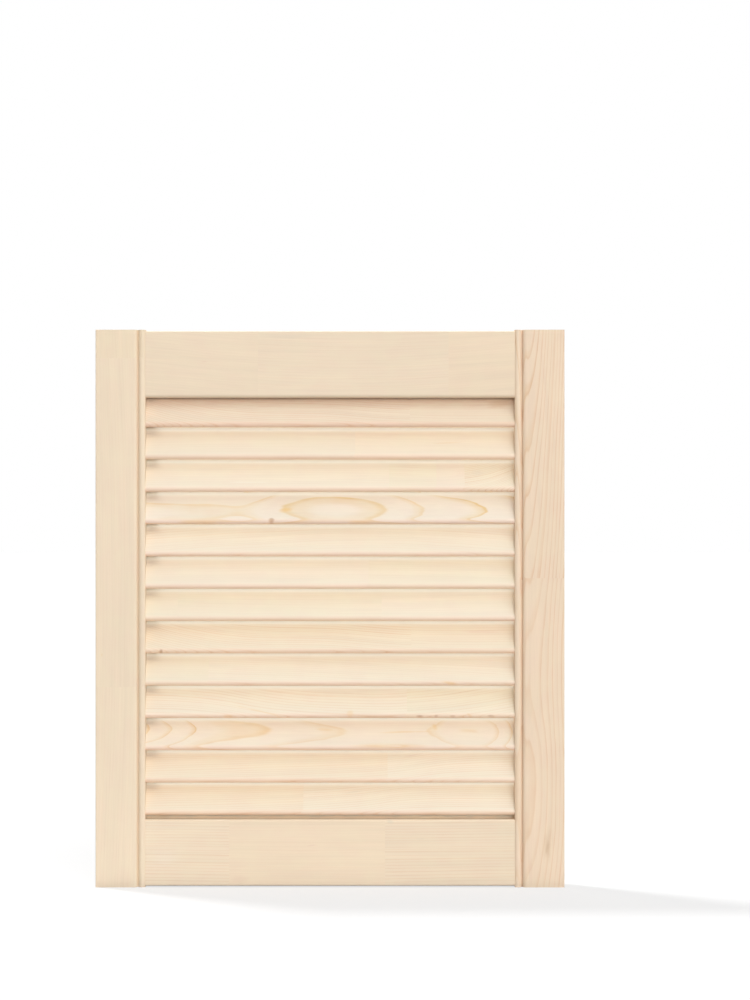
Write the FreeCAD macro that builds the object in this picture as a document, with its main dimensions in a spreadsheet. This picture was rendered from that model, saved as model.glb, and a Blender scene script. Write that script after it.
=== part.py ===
import FreeCAD, Part
import math
import os
import re

import Sketcher

# Louvred door of solid pine for a cupboard: two stiles, two rails, fixed slanted slats, hidden dowels.
#
# Frame: +X across the door, -Y is the front, +Z up. The origin is the centre of the flat outer edge
# of the hinge stile, the face that the door hangs by. Lengths are in millimetres, angles in degrees.

# Sizes that a maker sets. Each is written once and everything else follows from them.
SIZES = {
    "door_width": 344.0,          # over both stiles
    "door_height": 409.0,         # the stiles' full length
    "door_thickness": 20.0,       # the stiles' thickness
    "stile_width": 36.4,          # from the outer edge to the joint with the rails
    "stile_edge_round": 0.8,      # eased arris along the stile's outer edge
    "stile_overrun": 1.0,         # how far the stiles run past the rails at top and bottom
    "bead_width": 4.8,            # small round moulding along the stile's inner edge
    "bead_radius": 3.0,
    "bead_fall": 1.2,             # depth of the bead's inner end below the stile's face
    "quirk_width": 1.2,           # flat bottom of the groove beside the bead
    "quirk_depth": 3.2,           # depth of that groove below the stile's face
    "bead_foot": 1.8,             # depth at which the bead rises out of the groove
    "shoulder_width": 2.6,        # rounded step from the stile's face down to the groove
    "shoulder_fall": 1.3,         # depth at which that step meets the groove
    "shoulder_radius": 3.25,
    "rail_height": 48.7,
    "rail_setback": 1.0,          # the rails' faces lie this much below the stiles' faces
    "rail_outer_round": 1.0,      # eased arris along the door's top and bottom edges
    "top_rail_round": 2.4,        # rounded arris along the top rail's lower front edge
    "bottom_rail_round": 1.8,     # rounded arrises along the bottom rail's upper edge
    "slat_width": 27.3,           # the slat's section, long way, with full round edges
    "slat_thickness": 5.5,
    "slat_tilt": 31.0,            # lean from the vertical, lower edge forward
    "slat_count": 13,             # slats, evenly spaced between the rails
    "top_slat_tuck": 2.5,         # how far the first slat reaches up behind the top rail
    "bottom_slat_gap": 3.0,       # clear space between the last slat and the bottom rail
    "slat_rail_gap": 0.8,         # clearance of the first slat in the top rail's rebate
    "lip_height": 4.5,            # back lip of the bottom rail, which closes the view under the last slat
    "lip_airway": 4.0,            # way left open between that lip and the last slat
    "mortise_depth": 4.0,         # slanted slots in the stiles that hold the slats' ends
    "slat_fit": 0.15,             # clearance round a slat in its mortise
    "slat_end_gap": 0.3,          # clearance past a slat's end
    "dowel_diameter": 8.0,
    "dowel_length": 40.0,
    "dowel_spacing": 24.0,        # between the two dowels of a joint
    "dowel_fit": 0.1,             # clearance round a dowel in its hole
    "dowel_end_gap": 1.0,         # clearance past a dowel's end
}

LEAST_CUT = 1.0                   # cubic millimetres that every cut takes away at least

# What follows from the sizes, as formulas on their names.
DERIVED = {
    "face_depth": "door_thickness / 2",
    "moulding_start": "stile_width - bead_width - quirk_width - shoulder_width",
    "quirk_start": "stile_width - bead_width - quirk_width",
    "bead_start": "stile_width - bead_width",
    "opening_width": "door_width - 2 * stile_width",
    "far_joint": "door_width - stile_width",
    "rail_face": "face_depth - rail_setback",
    "top_rail_foot": "door_height / 2 - stile_overrun - rail_height",
    "bottom_rail_foot": "stile_overrun - door_height / 2",
    "bottom_rail_head": "bottom_rail_foot + rail_height",
    "slat_half_rise": "(slat_width - slat_thickness) / 2 * cos(slat_tilt) + slat_thickness / 2",
    "first_slat": "top_rail_foot + top_slat_tuck - slat_half_rise",
    "last_slat": "bottom_rail_head + bottom_slat_gap + slat_half_rise",
    "slat_spacing": "(first_slat - last_slat) / (slat_count - 1)",
    "slat_reach": "mortise_depth - slat_end_gap",
    "slat_length": "opening_width + 2 * slat_reach",
    "mortise_width": "slat_width + 2 * slat_fit",
    "mortise_thickness": "slat_thickness + 2 * slat_fit",
    "rebate_height": "top_slat_tuck + slat_rail_gap",
    "rebate_front": "(top_rail_foot - first_slat) * tan(slat_tilt)"
                    " - (slat_thickness / 2 + slat_rail_gap) / cos(slat_tilt)",
    "lip_front": "(slat_thickness / 2 + lip_airway) / cos(slat_tilt)"
                 " + (bottom_rail_head + lip_height - last_slat) * tan(slat_tilt)",
    "dowel_hole": "dowel_diameter / 2 + dowel_fit",
    "dowel_bore": "dowel_length / 2 + dowel_end_gap",
}

RAIL_FEET = {"top": "top_rail_foot", "bottom": "bottom_rail_foot"}
JOINTS = {"left": "stile_width", "right": "far_joint"}
DOWEL_SIDES = {"upper": "+", "lower": "-"}

doc = FreeCAD.newDocument("louvred_door")


def make_sheet():
    """The spreadsheet that drives the model: a name, its value or formula, one row each."""
    sheet = doc.addObject("Spreadsheet::Sheet", "Sizes")
    rows = [(alias, str(size)) for alias, size in SIZES.items()]
    rows += [(alias, "=" + formula) for alias, formula in DERIVED.items()]
    for row, (alias, content) in enumerate(rows, start=1):
        sheet.set(f"A{row}", alias)
        sheet.set(f"B{row}", content)
        sheet.setAlias(f"B{row}", alias)
    doc.recompute()
    return sheet


sheet = make_sheet()


def value(formula):
    """The number that a formula on the sheet's names comes to."""
    return float(sheet.evalExpression(formula))


def bind(feature, path, formula):
    """Drives one property of a feature by a formula on the sheet's names."""
    known = set(SIZES) | set(DERIVED)
    full = re.sub(r"[a-z_]+", lambda word: f"Sizes.{word[0]}" if word[0] in known else word[0], formula)
    feature.setExpression(path, full)


def new_body(label):
    body = doc.addObject("PartDesign::Body", label)
    body.Label = label
    return body


def sketch_on(body, name, role, offset=None, turn=None):
    """A sketch on one of the body's origin planes, moved along the plane's axes and turned in it."""
    plane = next(item for item in body.Origin.OriginFeatures if item.Role == role)
    sketch = body.newObject("Sketcher::SketchObject", name)
    sketch.AttachmentSupport = [(plane, "")]
    sketch.MapMode = "FlatFace"
    for axis, formula in (offset or {}).items():
        bind(sketch, f"AttachmentOffset.Base.{axis}", formula)
    if turn:
        bind(sketch, "AttachmentOffset.Rotation.Angle", turn)
    doc.recompute()
    return sketch


def dimension(sketch, kind, targets, formula):
    """A driven dimension. It starts at the formula's value, so the solver has nothing to move."""
    index = sketch.addConstraint(Sketcher.Constraint(kind, *targets, value(formula)))
    bind(sketch, f"Constraints[{index}]", formula)


def arc_between(start, end, radius):
    """The short arc that turns left on its way from start to end."""
    chord = end - start
    to_centre = FreeCAD.Vector(-chord.y, chord.x, 0).normalize()
    centre = (start + end) / 2 + to_centre * math.sqrt(radius ** 2 - (chord.Length / 2) ** 2)
    angles = [math.atan2((point - centre).y, (point - centre).x) for point in (start, end)]
    return Part.ArcOfCircle(Part.Circle(centre, FreeCAD.Vector(0, 0, 1), radius), *angles)


def draw_outline(sketch, corners):
    """A closed outline, anticlockwise. A corner is (x, y) where a straight edge starts, or
    (x, y, radius) where an arc does. Each is a formula on the sheet's names."""
    points = [FreeCAD.Vector(value(corner[0]), value(corner[1]), 0) for corner in corners]
    for index, corner in enumerate(corners):
        start = points[index]
        end = points[(index + 1) % len(points)]
        if len(corner) == 3:
            sketch.addGeometry(arc_between(start, end, value(corner[2])))
        else:
            sketch.addGeometry(Part.LineSegment(start, end))
    for index, corner in enumerate(corners):
        following = (index + 1) % len(corners)
        sketch.addConstraint(Sketcher.Constraint("Coincident", index, 2, following, 1))
        dimension(sketch, "DistanceX", (-1, 1, index, 1), corner[0])
        dimension(sketch, "DistanceY", (-1, 1, index, 1), corner[1])
        if len(corner) == 3:
            dimension(sketch, "Radius", (index,), corner[2])


def draw_slat_section(sketch, width, thickness):
    """A bar with full round edges, centred, its long way along the sketch's X."""
    radius = value(thickness) / 2
    reach = value(width) / 2 - radius
    up = FreeCAD.Vector(0, 0, 1)
    right = Part.Circle(FreeCAD.Vector(reach, 0, 0), up, radius)
    left = Part.Circle(FreeCAD.Vector(-reach, 0, 0), up, radius)
    lower = [FreeCAD.Vector(-reach, -radius, 0), FreeCAD.Vector(reach, -radius, 0)]
    upper = [FreeCAD.Vector(reach, radius, 0), FreeCAD.Vector(-reach, radius, 0)]
    sketch.addGeometry(Part.LineSegment(*lower))
    sketch.addGeometry(Part.ArcOfCircle(right, -math.pi / 2, math.pi / 2))
    sketch.addGeometry(Part.LineSegment(*upper))
    sketch.addGeometry(Part.ArcOfCircle(left, math.pi / 2, 3 * math.pi / 2))
    for index in range(4):
        sketch.addConstraint(Sketcher.Constraint("Tangent", index, 2, (index + 1) % 4, 1))
    sketch.addConstraint(Sketcher.Constraint("Equal", 1, 3))
    sketch.addConstraint(Sketcher.Constraint("Symmetric", 1, 3, 3, 3, -1, 1))
    sketch.addConstraint(Sketcher.Constraint("PointOnObject", 1, 3, -1))
    dimension(sketch, "DistanceX", (3, 3, 1, 3), f"{width} - {thickness}")
    dimension(sketch, "Radius", (1,), f"{thickness} / 2")


def draw_dowel_holes(sketch, heights):
    """One circle on the sketch's upright axis for each height."""
    for height in heights:
        centre = FreeCAD.Vector(0, value(height), 0)
        circle = sketch.addGeometry(Part.Circle(centre, FreeCAD.Vector(0, 0, 1), value("dowel_hole")))
        sketch.addConstraint(Sketcher.Constraint("PointOnObject", circle, 3, -2))
        dimension(sketch, "DistanceY", (-1, 1, circle, 3), height)
        dimension(sketch, "Radius", (circle,), "dowel_hole")


def pad(body, name, sketch, length, midplane=False):
    feature = body.newObject("PartDesign::Pad", name)
    feature.Profile = sketch
    feature.Midplane = midplane
    bind(feature, "Length", length)
    doc.recompute()
    return feature


def pocket(body, name, sketch, depth, along_normal=False):
    """Cuts against the sketch's normal, or along it."""
    feature = body.newObject("PartDesign::Pocket", name)
    feature.Profile = sketch
    feature.Reversed = along_normal
    bind(feature, "Length", depth)
    doc.recompute()
    return feature


def place(body, x=None, z=None):
    for axis, formula in (("x", x), ("z", z)):
        if formula:
            bind(body, f"Placement.Base.{axis}", formula)


def dowel_heights(foot):
    """Where the two dowels of a rail sit, above and below the rail's middle."""
    return [f"{foot} + rail_height / 2 {sign} dowel_spacing / 2" for sign in DOWEL_SIDES.values()]


def make_stile(label, side):
    """An upright, moulded along its inner edge on both faces, with a slanted mortise for each slat.
    It is drawn as the left one. The right one is turned half round and its mortises lean the other way."""
    body = new_body(label)
    profile = sketch_on(body, f"{label}_profile", "XY_Plane")
    draw_outline(profile, [
        ("stile_edge_round", "-face_depth"),
        ("moulding_start", "-face_depth", "shoulder_radius"),
        ("quirk_start", "shoulder_fall - face_depth"),
        ("quirk_start", "quirk_depth - face_depth"),
        ("bead_start", "quirk_depth - face_depth"),
        ("bead_start", "bead_foot - face_depth", "bead_radius"),
        ("stile_width", "bead_fall - face_depth"),
        ("stile_width", "face_depth - bead_fall", "bead_radius"),
        ("bead_start", "face_depth - bead_foot"),
        ("bead_start", "face_depth - quirk_depth"),
        ("quirk_start", "face_depth - quirk_depth"),
        ("quirk_start", "face_depth - shoulder_fall", "shoulder_radius"),
        ("moulding_start", "face_depth"),
        ("stile_edge_round", "face_depth", "stile_edge_round"),
        ("0", "face_depth - stile_edge_round"),
        ("0", "stile_edge_round - face_depth", "stile_edge_round"),
    ])
    pad(body, f"{label}_blank", profile, "door_height", midplane=True)

    lean = "90 - slat_tilt" if side == "left" else "90 + slat_tilt"
    inner_edge = {"y": "first_slat", "z": "stile_width"}
    slot = sketch_on(body, f"{label}_mortise_section", "YZ_Plane", inner_edge, lean)
    draw_slat_section(slot, "mortise_width", "mortise_thickness")
    mortise = pocket(body, f"{label}_mortise", slot, "mortise_depth")

    mortises = body.newObject("PartDesign::LinearPattern", f"{label}_mortises")
    mortises.Originals = [mortise]
    mortises.Direction = (next(item for item in body.Origin.OriginFeatures if item.Role == "Z_Axis"), [""])
    mortises.Reversed = True
    bind(mortises, "Length", "first_slat - last_slat")
    bind(mortises, "Occurrences", "slat_count")
    body.Tip = mortises
    doc.recompute()

    holes = sketch_on(body, f"{label}_dowel_circles", "YZ_Plane", {"z": "stile_width"})
    draw_dowel_holes(holes, dowel_heights("top_rail_foot") + dowel_heights("bottom_rail_foot"))
    pocket(body, f"{label}_dowel_holes", holes, "dowel_bore")

    if side == "right":
        body.Placement = FreeCAD.Placement(FreeCAD.Vector(), FreeCAD.Rotation(FreeCAD.Vector(0, 0, 1), 180))
        place(body, x="door_width")


def make_rail(label, foot, outline):
    """A crosspiece between the stiles, drawn in section from its own lower edge, with dowel holes
    in both ends."""
    body = new_body(label)
    section = sketch_on(body, f"{label}_section", "YZ_Plane")
    draw_outline(section, outline)
    pad(body, f"{label}_blank", section, "opening_width")
    heights = dowel_heights("0")
    near = sketch_on(body, f"{label}_left_circles", "YZ_Plane")
    draw_dowel_holes(near, heights)
    pocket(body, f"{label}_left_holes", near, "dowel_bore", along_normal=True)
    far = sketch_on(body, f"{label}_right_circles", "YZ_Plane", {"z": "opening_width"})
    draw_dowel_holes(far, heights)
    pocket(body, f"{label}_right_holes", far, "dowel_bore")
    place(body, x="stile_width", z=foot)


def make_top_rail():
    """Its lower edge is rebated at the back, where the first slat reaches up behind it."""
    make_rail("top_rail", RAIL_FEET["top"], [
        ("top_rail_round - rail_face", "0"),
        ("rebate_front", "0"),
        ("rebate_front", "rebate_height"),
        ("rail_face", "rebate_height"),
        ("rail_face", "rail_height - rail_outer_round", "rail_outer_round"),
        ("rail_face - rail_outer_round", "rail_height"),
        ("rail_outer_round - rail_face", "rail_height", "rail_outer_round"),
        ("-rail_face", "rail_height - rail_outer_round"),
        ("-rail_face", "top_rail_round", "top_rail_round"),
    ])


def make_bottom_rail():
    """Its upper edge steps up at the back to a lip behind the last slat."""
    make_rail("bottom_rail", RAIL_FEET["bottom"], [
        ("rail_outer_round - rail_face", "0"),
        ("rail_face - rail_outer_round", "0", "rail_outer_round"),
        ("rail_face", "rail_outer_round"),
        ("rail_face", "rail_height + lip_height - bottom_rail_round", "bottom_rail_round"),
        ("rail_face - bottom_rail_round", "rail_height + lip_height"),
        ("lip_front", "rail_height + lip_height"),
        ("lip_front", "rail_height"),
        ("bottom_rail_round - rail_face", "rail_height", "bottom_rail_round"),
        ("-rail_face", "rail_height - bottom_rail_round"),
        ("-rail_face", "rail_outer_round", "rail_outer_round"),
    ])


def make_slat(number):
    """One slat, its ends in the stiles' mortises. Slats are numbered from the top."""
    body = new_body(f"slat_{number:02d}")
    section = sketch_on(body, f"slat_{number:02d}_section", "YZ_Plane")
    draw_slat_section(section, "slat_width", "slat_thickness")
    pad(body, f"slat_{number:02d}_bar", section, "slat_length")
    body.Placement = FreeCAD.Placement(FreeCAD.Vector(), FreeCAD.Rotation(FreeCAD.Vector(1, 0, 0), 90))
    bind(body, "Placement.Rotation.Angle", "90 - slat_tilt")
    place(body, x="stile_width - slat_reach", z=f"first_slat - {number - 1} * slat_spacing")


def make_dowel(label, joint, height):
    """A hidden pin across the joint of a rail and a stile, half its length in each."""
    body = new_body(label)
    circle = sketch_on(body, f"{label}_circle", "YZ_Plane")
    rim = Part.Circle(FreeCAD.Vector(), FreeCAD.Vector(0, 0, 1), value("dowel_diameter") / 2)
    round_bar = circle.addGeometry(rim)
    circle.addConstraint(Sketcher.Constraint("Coincident", round_bar, 3, -1, 1))
    dimension(circle, "Diameter", (round_bar,), "dowel_diameter")
    pad(body, f"{label}_bar", circle, "dowel_length", midplane=True)
    place(body, x=joint, z=height)


def make_dowels():
    for rail, foot in RAIL_FEET.items():
        for side, joint in JOINTS.items():
            for level, height in zip(DOWEL_SIDES, dowel_heights(foot)):
                make_dowel(f"dowel_{rail}_{side}_{level}", joint, height)


def check_model(bodies):
    """Stops if anything in the document failed, if a sub-part isn't one sound solid, or if a cut
    took nothing away."""
    for item in doc.Objects:
        if {"Invalid", "Error"} & set(item.State):
            raise RuntimeError(f"{item.Name} failed: {item.State}")
        if item.TypeId == "PartDesign::Pocket":
            if item.BaseFeature.Shape.Volume - item.Shape.Volume < LEAST_CUT:
                raise RuntimeError(f"{item.Name} cuts nothing")
    for body in bodies:
        if body.Shape.isNull() or not body.Shape.isValid() or len(body.Shape.Solids) != 1:
            raise RuntimeError(f"{body.Label} is not one sound solid")


def export(bodies):
    os.makedirs("parts", exist_ok=True)
    for body in bodies:
        body.Shape.exportStep(f"parts/{body.Label}.step")
        box = body.Shape.BoundBox
        print(f"{body.Label}: {body.Shape.Volume:.0f} mm3, x {box.XMin:.2f} {box.XMax:.2f},"
              f" y {box.YMin:.2f} {box.YMax:.2f}, z {box.ZMin:.2f} {box.ZMax:.2f}")


make_stile("left_stile", "left")
make_stile("right_stile", "right")
make_top_rail()
make_bottom_rail()
for slat_number in range(1, int(value("slat_count")) + 1):
    make_slat(slat_number)
make_dowels()
doc.recompute()

sub_parts = [item for item in doc.Objects if item.TypeId == "PartDesign::Body"]
check_model(sub_parts)
export(sub_parts)
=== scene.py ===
# %% [markdown]
# # A small louvred cupboard door in bare pine
#
# The door is a frame of two moulded stiles and two rails round thirteen slanted slats. Its true
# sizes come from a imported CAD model, which loads here as a fixed frame. This lesson gives each
# board its wood, draws the slats with Geometry Nodes, and lights the door as in a small studio.

# %% Load the frame
import math

import bpy
from mathutils import Matrix, Vector


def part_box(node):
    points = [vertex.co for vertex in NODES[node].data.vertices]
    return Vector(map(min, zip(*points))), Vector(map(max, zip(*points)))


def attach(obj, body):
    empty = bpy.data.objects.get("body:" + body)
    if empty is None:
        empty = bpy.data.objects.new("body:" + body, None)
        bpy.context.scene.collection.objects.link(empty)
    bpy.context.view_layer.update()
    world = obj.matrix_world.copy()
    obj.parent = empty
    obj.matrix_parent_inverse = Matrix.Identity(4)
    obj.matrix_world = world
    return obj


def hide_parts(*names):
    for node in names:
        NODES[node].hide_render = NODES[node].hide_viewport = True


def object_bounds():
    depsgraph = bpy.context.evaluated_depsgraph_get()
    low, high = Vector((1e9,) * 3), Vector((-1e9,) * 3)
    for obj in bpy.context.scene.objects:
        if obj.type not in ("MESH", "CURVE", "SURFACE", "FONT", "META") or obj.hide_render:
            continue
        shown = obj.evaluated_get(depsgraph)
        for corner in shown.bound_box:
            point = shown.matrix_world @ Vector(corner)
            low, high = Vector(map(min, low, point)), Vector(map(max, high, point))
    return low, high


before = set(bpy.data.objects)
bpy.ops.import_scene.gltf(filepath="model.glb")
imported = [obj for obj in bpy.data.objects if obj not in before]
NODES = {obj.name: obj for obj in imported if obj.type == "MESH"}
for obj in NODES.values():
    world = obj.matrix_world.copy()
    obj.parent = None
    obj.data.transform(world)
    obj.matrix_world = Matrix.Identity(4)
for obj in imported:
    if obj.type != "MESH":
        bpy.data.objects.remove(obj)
CAD_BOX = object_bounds()
MM = 0.001
print("CAD box:", [round(v, 4) for v in (*CAD_BOX[0], *CAD_BOX[1])])

# %% [markdown]
# ## The camera
#
# The door is seen straight on, so that its edges stay square in the picture. A camera that is
# turned or tipped would make the stiles lean. A shifted lens could place the door in the picture
# as well, but it is simpler to keep the camera level and to stand it a little to the right of the
# door's middle and above it. The door then comes out low and to the left.

# %% Camera
scene = bpy.context.scene
scene.view_settings.view_transform = "Standard"

DOOR_MIDDLE = (CAD_BOX[0] + CAD_BOX[1]) / 2
DOOR_FRONT = CAD_BOX[0].y
CAMERA_DISTANCE = 1.90          # metres from the front of the door
CAMERA_RIGHT = 0.0330           # metres to the right of the door's middle
CAMERA_RISE = 0.0796            # metres above the door's middle
PICTURE_HEIGHT = 0.7333         # metres of the door's plane that the picture takes in
SENSOR = 36.0                   # millimetres, on the long side
NEAREST = 0.05                  # metres from the camera, nearer than which nothing is drawn

camera_data = bpy.data.cameras.new("camera")
camera_data.sensor_width = SENSOR
camera_data.lens = SENSOR * CAMERA_DISTANCE / PICTURE_HEIGHT
camera_data.clip_start = NEAREST
camera = bpy.data.objects.new("camera", camera_data)
camera.location = (DOOR_MIDDLE.x + CAMERA_RIGHT, DOOR_FRONT - CAMERA_DISTANCE,
                   DOOR_MIDDLE.z + CAMERA_RISE)
camera.rotation_euler = (math.radians(90), 0, 0)
scene.collection.objects.link(camera)
scene.camera = camera
print("lens:", round(camera_data.lens, 1), "mm")

# %% [markdown]
# ## Nodes in a few words
#
# Shaders and geometry are both trees of nodes. A few short helpers add a node, fill its sockets
# and hand on its result, so that each tree below reads like a recipe.

# %% Helpers for node trees
def add(tree, kind, inputs=None, **settings):
    """Adds one node, sets it up, and fills its sockets with values or with links."""
    made = tree.nodes.new(kind)
    for name, value in settings.items():
        setattr(made, name, value)
    for key, value in (inputs or {}).items():
        if isinstance(value, bpy.types.NodeSocket):
            tree.links.new(value, made.inputs[key])
        else:
            made.inputs[key].default_value = value
    return made


def calc(tree, operation, *values):
    """One Math node, by its operation and its inputs in order."""
    return add(tree, "ShaderNodeMath", dict(enumerate(values)), operation=operation).outputs[0]


def times(tree, vector, factors):
    """A vector or colour with each of its parts multiplied by its own factor."""
    scaled = add(tree, "ShaderNodeVectorMath", {0: vector, 1: factors}, operation="MULTIPLY")
    return scaled.outputs[0]


# %% Helpers for patterns and blends
def noise(tree, where, changes, detail, **more):
    """A noise that changes so many times in a metre along X, Y and Z."""
    sockets = {"Vector": times(tree, where, changes), "Scale": 1.0, "Detail": detail, **more}
    return add(tree, "ShaderNodeTexNoise", sockets).outputs[0]


def blend(tree, share, first, second):
    """The first colour where share is 0, the second where it is 1, and a mixture between."""
    return add(tree, "ShaderNodeMix", {0: share, 6: first, 7: second}, data_type="RGBA").outputs[2]


def ramp_up(tree, value, start, full):
    """0 before start, 1 past full, and an even rise between them."""
    reach = {"Value": value, "From Min": start, "From Max": full}
    return add(tree, "ShaderNodeMapRange", reach).outputs[0]


def bare_material(name):
    """A new material whose tree is still empty."""
    made = bpy.data.materials.new(name)
    made.use_nodes = True
    made.node_tree.nodes.clear()
    return made


# %% [markdown]
# ## Studio light
#
# Soft light falls on the real door from the front and from above, and light from behind shines
# down between the slats. One lamp can't do all of that. Five do it here, each large and far away:
# three in front of the door, from low to high, and two behind it. The high one behind draws part
# of the bright line that runs under the lower edge of each slat, and a painted highlight in the
# slats' wood gives the rest. Their strengths were set together, so that the palest wood comes out
# just under white.

# %% Lamps
LAMP_AWAY = 2.0                 # metres. A sun lamp lights alike from anywhere, so this only parts them.


def far_lamp(name, towards, strength, spread):
    """A soft lamp far away. towards points from the door to it, spread is its width in degrees."""
    data = bpy.data.lights.new(name, "SUN")
    data.energy = strength
    data.angle = math.radians(spread)
    lamp = bpy.data.objects.new(name, data)
    lamp.location = DOOR_MIDDLE + LAMP_AWAY * Vector(towards).normalized()
    lamp.rotation_euler = Vector(towards).to_track_quat("Z", "Y").to_euler()
    scene.collection.objects.link(lamp)
    print("lamp", name, "is", spread, "degrees wide")


far_lamp("front_low", (0.17, -0.97, 0.08), 1.15, 28)
far_lamp("front_wide", (0.50, -0.81, 0.30), 1.20, 76)
far_lamp("front_high", (0.20, -0.55, 0.81), 0.36, 36)
far_lamp("back_high", (-0.36, 0.27, 0.89), 2.10, 8)
far_lamp("back_low", (0.0, 0.91, 0.42), 0.40, 40)

# %% [markdown]
# ## A card on the floor
#
# The high lamp behind throws the door's shadow forward over the floor. The feet of the stiles
# then lose the light that a pale floor would send back up to them, and come out too dark. In a
# studio a white card is laid there. Here the card is a weak lamp of its size that faces up and
# that the camera doesn't see.

# %% Floor card
CARD_LENGTH = 0.46              # metres, along the door
CARD_WIDTH = 0.12               # metres
CARD_POWER = 0.042              # watts
CARD_RIGHT = 0.02               # metres that its middle lies to the right of the door's
CARD_BEFORE = 0.065             # metres that its middle lies in front of the door
CARD_LIFT = 0.002               # metres above the floor

card_light = bpy.data.lights.new("floor_card", "AREA")
card_light.shape = "RECTANGLE"
card_light.size = CARD_LENGTH
card_light.size_y = CARD_WIDTH
card_light.energy = CARD_POWER
floor_card = bpy.data.objects.new("floor_card", card_light)
floor_card.location = (DOOR_MIDDLE.x + CARD_RIGHT, DOOR_FRONT - CARD_BEFORE,
                       CAD_BOX[0].z + CARD_LIFT)
floor_card.rotation_euler = (math.radians(180), 0, 0)
floor_card.visible_camera = False
floor_card.visible_glossy = False
scene.collection.objects.link(floor_card)
print("floor card:", CARD_LENGTH, "by", CARD_WIDTH, "m")

# %% [markdown]
# ## The sky
#
# An even pale sky fills the shadows. The picture behind the door has to be white, and a sky that
# bright would wash out the slats. So the sky has two levels: white for rays from the camera and
# from shiny or clear surfaces, and a good deal less for the light that it sheds on the wood.

# %% Sky
SKY_LEVEL = 0.40
WHITE = (1, 1, 1, 1)

world = bpy.data.worlds.new("studio")
scene.world = world
world.use_nodes = True
sky = world.node_tree
sky.nodes.clear()
rays = add(sky, "ShaderNodeLightPath").outputs
shown = calc(sky, "MAXIMUM", rays["Is Camera Ray"],
             calc(sky, "MAXIMUM", rays["Is Glossy Ray"], rays["Is Transmission Ray"]))
fill = add(sky, "ShaderNodeBackground", {"Color": WHITE, "Strength": SKY_LEVEL})
white = add(sky, "ShaderNodeBackground", {"Color": WHITE, "Strength": 1.0})
both = add(sky, "ShaderNodeMixShader", {0: shown, 1: fill.outputs[0], 2: white.outputs[0]})
add(sky, "ShaderNodeOutputWorld", {"Surface": both.outputs[0]})
print("sky level on the wood:", SKY_LEVEL)

# %% [markdown]
# ## The floor
#
# The door stands on a plain pale floor. The floor is lit like the rest and so keeps the door's
# shadow, and towards the camera alone it gives a little light of its own, so that it joins the
# white behind it without a line.

# %% Floor
FLOOR_REACH = 12.0              # metres from the middle to each side

floor_data = bpy.data.meshes.new("floor")
floor_corners = [(-FLOOR_REACH, -FLOOR_REACH, 0), (FLOOR_REACH, -FLOOR_REACH, 0),
                 (FLOOR_REACH, FLOOR_REACH, 0), (-FLOOR_REACH, FLOOR_REACH, 0)]
floor_data.from_pydata(floor_corners, [], [(0, 1, 2, 3)])
floor_data.transform(Matrix.Translation((0, 0, CAD_BOX[0].z)))
floor = bpy.data.objects.new("floor", floor_data)
scene.collection.objects.link(floor)
print("floor level:", round(CAD_BOX[0].z, 4))

# %% Floor paper
FLOOR_COLOUR = (0.30, 0.30, 0.30, 1)
FLOOR_GLOW = 0.65               # its own light, for the camera alone
PAPER_GRAIN = 260.0             # grains in a metre
PAPER_RELIEF = 0.2 * MM

floor_paper = bare_material("pale_floor")
paper = floor_paper.node_tree
grain = add(paper, "ShaderNodeTexNoise", {"Scale": PAPER_GRAIN, "Detail": 2.0})
tooth = add(paper, "ShaderNodeBump",
            {"Height": grain.outputs[0], "Distance": PAPER_RELIEF, "Strength": 0.3})
matt = add(paper, "ShaderNodeBsdfDiffuse", {"Color": FLOOR_COLOUR, "Normal": tooth.outputs[0]})
to_camera = add(paper, "ShaderNodeLightPath").outputs["Is Camera Ray"]
glow = add(paper, "ShaderNodeEmission",
           {"Color": WHITE, "Strength": calc(paper, "MULTIPLY", to_camera, FLOOR_GLOW)})
joined = add(paper, "ShaderNodeAddShader", {0: matt.outputs[0], 1: glow.outputs[0]})
add(paper, "ShaderNodeOutputMaterial", {"Surface": joined.outputs[0]})
floor_data.materials.append(floor_paper)

# %% [markdown]
# ## What pine is made of
#
# A pine board shows the growth rings of its tree. Each ring is a wide band of pale spring wood
# that darkens into a thin, hard, amber line of summer wood and stops sharply. Sawn along the tree,
# rings make straight lines or long arches, and across its end they make arcs. A picture can't do
# this on every side of a board at once, so the wood here is solid: the shader asks how far a point
# lies from the middle of the tree, the pith, and colours it by that distance. The same recipe then
# gives faces, edges and ends that agree with each other.

# %% What the pine recipe asks for and gives
ASKED_NUMBERS = ("Pith Depth", "Pith Across", "Ring Width", "Phase", "Waver", "Figure", "Resin",
                 "Thin Lines", "End Grain")


def recipe_sockets(tree):
    """Names the recipe's inputs and outputs, and hands on the values that it is given."""
    asked = {"Place": "NodeSocketVector", "Tone": "NodeSocketColor",
             **dict.fromkeys(ASKED_NUMBERS, "NodeSocketFloat")}
    gives = {"Colour": "NodeSocketColor", "Height": "NodeSocketFloat",
             "Roughness": "NodeSocketFloat"}
    for name, kind in asked.items():
        tree.interface.new_socket(name, in_out="INPUT", socket_type=kind)
    for name, kind in gives.items():
        tree.interface.new_socket(name, in_out="OUTPUT", socket_type=kind)
    return add(tree, "NodeGroupInput").outputs


# %% [markdown]
# ## Rings
#
# Each point is measured from the pith, and that distance is divided by the width of a ring. The
# whole number that comes out is the year, and what is left over is the season. Rings are never
# quite round: they swell and shrink slowly along the tree, and tremble a little. Years differ
# too, so a noise along the age makes some rings wider than others.

# %% The age of the wood at a point
SWELLS = (7, 38, 38)            # changes in a metre along the tree and both ways across it
RIPPLES = (45, 300, 300)
SWELL_REACH = 4.2 * MM          # how far a swell moves a ring when the board's waver is 1
RIPPLE_REACH = 0.4 * MM
YEAR_NOISE = 0.7                # changes of the weather in a year
YEAR_REACH = 0.9                # years that the weather moves a ring


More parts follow.
